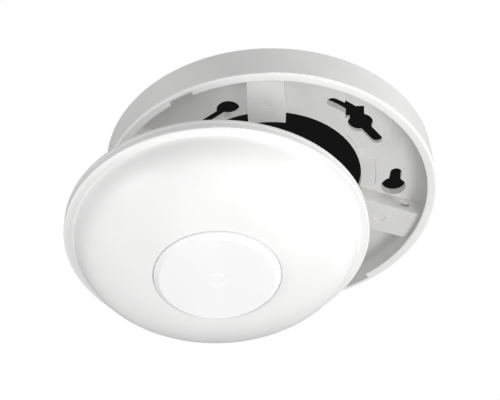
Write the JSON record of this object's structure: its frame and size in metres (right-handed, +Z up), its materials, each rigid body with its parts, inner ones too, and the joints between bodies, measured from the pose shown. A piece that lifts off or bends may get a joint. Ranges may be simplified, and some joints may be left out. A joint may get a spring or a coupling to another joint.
{
  "type": "ceiling motion sensor",
  "caption": "Round ceiling-mount motion sensor: a bayonet head with a bevelled lens disc, hanging unlocked below a shallow ring-shaped mounting base.",
  "frame": {"origin": "centre of the mounting base's ceiling face, on the axis of its wire hole", "axes": "+Z up into the ceiling, square to the ceiling face; +X to the right and +Y away when the sensor is seen from below and in front, with one pair of head-seat blocks on the Y axis"},
  "size_m": [0.1269, 0.1152, 0.0598],
  "materials": {
    "base_plastic": "fine matt moulded, white",
    "cover_plastic": "fine satin moulded, white",
    "lens_plastic": "white polyethylene, satin",
    "chassis_plastic": "matt moulded, off-white",
    "board_laminate": "green solder mask",
    "bright_steel": "zinc plated",
    "tin_can": "nickel plated",
    "dark_window": "dark infrared filter",
    "black_plastic": "matt black moulded",
    "terminal_green": "green moulded",
    "relay_plastic": "blue gloss moulded",
    "capacitor_sleeve": "shrunk sleeve",
    "led_resin": "tinted clear resin",
    "switch_red": "red moulded",
    "slider_white": "white moulded",
    "trimmer_blue": "blue moulded"
  },
  "bodies": {
    "base": {"mounting_base": "base_plastic"},
    "lens_unit": {"lens": "lens_plastic", "lens_retainer": "chassis_plastic"},
    "head": {"cover_shell": "cover_plastic", "rear_chassis": "chassis_plastic", "chassis_screws": "bright_steel", "circuit_board": "board_laminate", "pyro_can": "tin_can", "pyro_window": "dark_window", "pyro_shroud": "black_plastic", "status_led": "led_resin", "terminal_block": "terminal_green", "terminal_screws": "bright_steel", "relay": "relay_plastic", "control_chip": "black_plastic", "capacitors": "capacitor_sleeve", "dip_body": "switch_red", "trimmer_body": "trimmer_blue", "tamper_body": "black_plastic", "tamper_spring": "bright_steel"},
    "slider_1": {"dip_slider_1": "slider_white"},
    "slider_2": {"dip_slider_2": "slider_white"},
    "trimmer": {"trimmer_rotor": "slider_white"},
    "tamper": {"tamper_plunger": "slider_white"}
  },
  "joints": [
    {"name": "head_lift", "type": "slide", "parent": "base", "child": "lens_unit", "axis": [0.6055, 0.2151, 0.7663], "range_m": [0, 0.03022]},
    {"name": "head_twist", "type": "hinge", "parent": "lens_unit", "child": "head", "pos_m": [-0.0183, -0.0065, -0.0578], "axis": [0, 0, 1], "range_deg": [0, 15]},
    {"name": "tamper_press", "type": "slide", "parent": "head", "child": "tamper", "axis": [0, 0, -1], "range_m": [0, 0.0013], "stiffness_N_per_m": 150, "springref_m": -0.002, "deforming": ["tamper_spring"]},
    {"name": "dip_1_slide", "type": "slide", "parent": "head", "child": "slider_1", "axis": [0, 1, 0], "range_m": [0, 0.0016]},
    {"name": "dip_2_slide", "type": "slide", "parent": "head", "child": "slider_2", "axis": [0, 1, 0], "range_m": [0, 0.0016]},
    {"name": "trimmer_turn", "type": "hinge", "parent": "head", "child": "trimmer", "pos_m": [-0.0073, -0.0205, -0.0418], "axis": [0, 0, 1], "range_deg": [-135, 135]}
  ]
}
